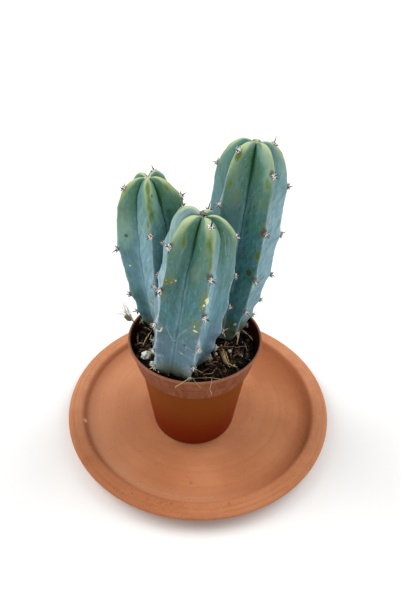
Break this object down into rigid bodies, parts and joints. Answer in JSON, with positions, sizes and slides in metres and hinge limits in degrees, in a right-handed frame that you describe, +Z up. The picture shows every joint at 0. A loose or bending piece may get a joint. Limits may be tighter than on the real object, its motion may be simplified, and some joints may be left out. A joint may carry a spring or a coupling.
{
  "type": "potted blue myrtle cactus",
  "caption": "Ribbed blue-green columnar cactus growing in a small plastic nursery pot of peaty soil, standing on a wide shallow terracotta saucer.",
  "frame": {"origin": "centre of the saucer's flat underside, on the surface that it stands on", "axes": "+Z up along the saucer's axis; -Y is the front, the side that the picture is taken from; +X to the right in the picture"},
  "size_m": [0.1426, 0.1426, 0.1495],
  "materials": {
    "terracotta": "matte",
    "pot_plastic": "satin",
    "peat_soil": "matte",
    "perlite": "matte",
    "bark": "matte",
    "cactus_skin": "satin"
  },
  "bodies": {
    "root": {"saucer": "terracotta", "nursery_pot": "pot_plastic", "soil": "peat_soil", "perlite_lump": "perlite", "bark_chip": "bark", "stem_front": "cactus_skin", "stem_left": "cactus_skin", "stem_right": "cactus_skin"}
  },
  "joints": []
}
